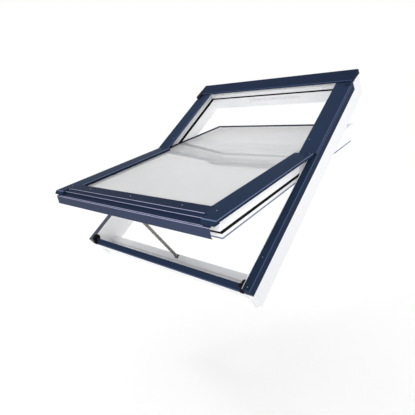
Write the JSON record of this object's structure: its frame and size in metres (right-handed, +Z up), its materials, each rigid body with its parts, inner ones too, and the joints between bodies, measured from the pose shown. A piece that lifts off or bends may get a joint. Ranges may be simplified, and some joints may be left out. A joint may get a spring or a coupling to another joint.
{
  "type": "roof window",
  "caption": "Centre-pivot roof window with a white plastic frame and sash, dark blue metal claddings, double glazing and a chain opener in the sill.",
  "frame": {"origin": "middle of the sill's flat outer face, which bears on the roof opening's lower edge", "axes": "+X to the window's right when it is looked at from outside, +Z up; the window lies in a roof pitched at 42 degrees, which rises towards +Y"},
  "size_m": [0.9454, 1.1218, 0.8975],
  "materials": {
    "white_pvc": "satin white PVC-U, lightly glossy",
    "navy_sheet": "folded aluminium sheet, stove-painted dark blue, satin",
    "glazing_trim": "slim aluminium edging, dark blue",
    "black_plastic": "moulded black plastic",
    "black_rubber": "black rubber gasket",
    "zinc_steel": "pressed steel, zinc plated",
    "bright_steel": "stainless steel",
    "chain_steel": "oiled steel",
    "glass": "clear float glass, sealed double unit",
    "spacer_grey": "dark grey spacer bar",
    "vent_white": "moulded white plastic",
    "drive_grey": "moulded grey plastic",
    "motor_metal": "painted steel motor can"
  },
  "bodies": {
    "frame": {"frame_jamb_left": "white_pvc", "frame_jamb_right": "white_pvc", "frame_head": "white_pvc", "frame_sill": "white_pvc", "jamb_steel_left": "zinc_steel", "jamb_steel_right": "zinc_steel", "frame_seal_ring": "black_rubber", "edge_strip_left": "navy_sheet", "edge_strip_right": "navy_sheet", "upper_cover_left": "navy_sheet", "upper_cover_right": "navy_sheet", "hood": "navy_sheet", "hood_brackets": "zinc_steel", "hood_cap_left": "black_plastic", "hood_cap_right": "black_plastic", "sill_cladding": "navy_sheet", "sill_cap_left": "black_plastic", "sill_cap_right": "black_plastic", "frame_screws": "bright_steel", "head_screws": "bright_steel", "vent_plate": "vent_white", "drive_case": "drive_grey", "drive_motor": "motor_metal", "chain_outlet": "black_plastic", "hinge_plate_left": "zinc_steel", "hinge_plate_right": "zinc_steel", "pivot_pin_left": "bright_steel", "pivot_pin_right": "bright_steel"},
    "sash": {"hinge_arm_left": "zinc_steel", "hinge_arm_right": "zinc_steel", "sash_stile_left": "white_pvc", "sash_stile_right": "white_pvc", "sash_top_rail": "white_pvc", "sash_bottom_rail": "white_pvc", "stile_steel_left": "zinc_steel", "stile_steel_right": "zinc_steel", "outer_pane": "glass", "inner_pane": "glass", "pane_spacer": "spacer_grey", "pane_tape": "black_rubber", "glazing_beads": "white_pvc", "glass_edging": "glazing_trim", "sash_seal": "black_rubber", "sash_cover_left": "navy_sheet", "sash_cover_right": "navy_sheet", "sash_bottom_cover": "navy_sheet", "drip_front": "navy_sheet", "cover_seal": "black_rubber", "sash_screws": "bright_steel", "chain_bracket": "zinc_steel", "bracket_pin": "bright_steel"},
    "chain": {"chain": "chain_steel"},
    "drive": {"drive_sprocket": "chain_steel", "sprocket_shaft": "bright_steel"},
    "vent": {"vent_shutter": "vent_white"}
  },
  "joints": [
    {"name": "sash_pivot", "type": "hinge", "parent": "frame", "child": "sash", "pos_m": [0, 0.43302, 0.45313], "axis": [-1, 0, 0], "range_deg": [-26.4, 0]},
    {"name": "chain_swing", "type": "hinge", "parent": "frame", "child": "chain", "pos_m": [0.017, 0.08822, 0.02158], "axis": [-1, 0, 0], "range_deg": [-26.4, 0], "deforming": ["chain"]},
    {"name": "sprocket_spin", "type": "hinge", "parent": "frame", "child": "drive", "pos_m": [0.017, 0.08981, -0.00634], "axis": [1, 0, 0], "range_deg": [-1110, 0]},
    {"name": "vent_slide", "type": "slide", "parent": "frame", "child": "vent", "axis": [1, 0, 0], "range_m": [0, 0.012]}
  ],
  "couplings": [
    {"joint": "chain_swing", "follows": "sash_pivot", "ratio": 1},
    {"joint": "sprocket_spin", "follows": "sash_pivot", "ratio": 42}
  ]
}
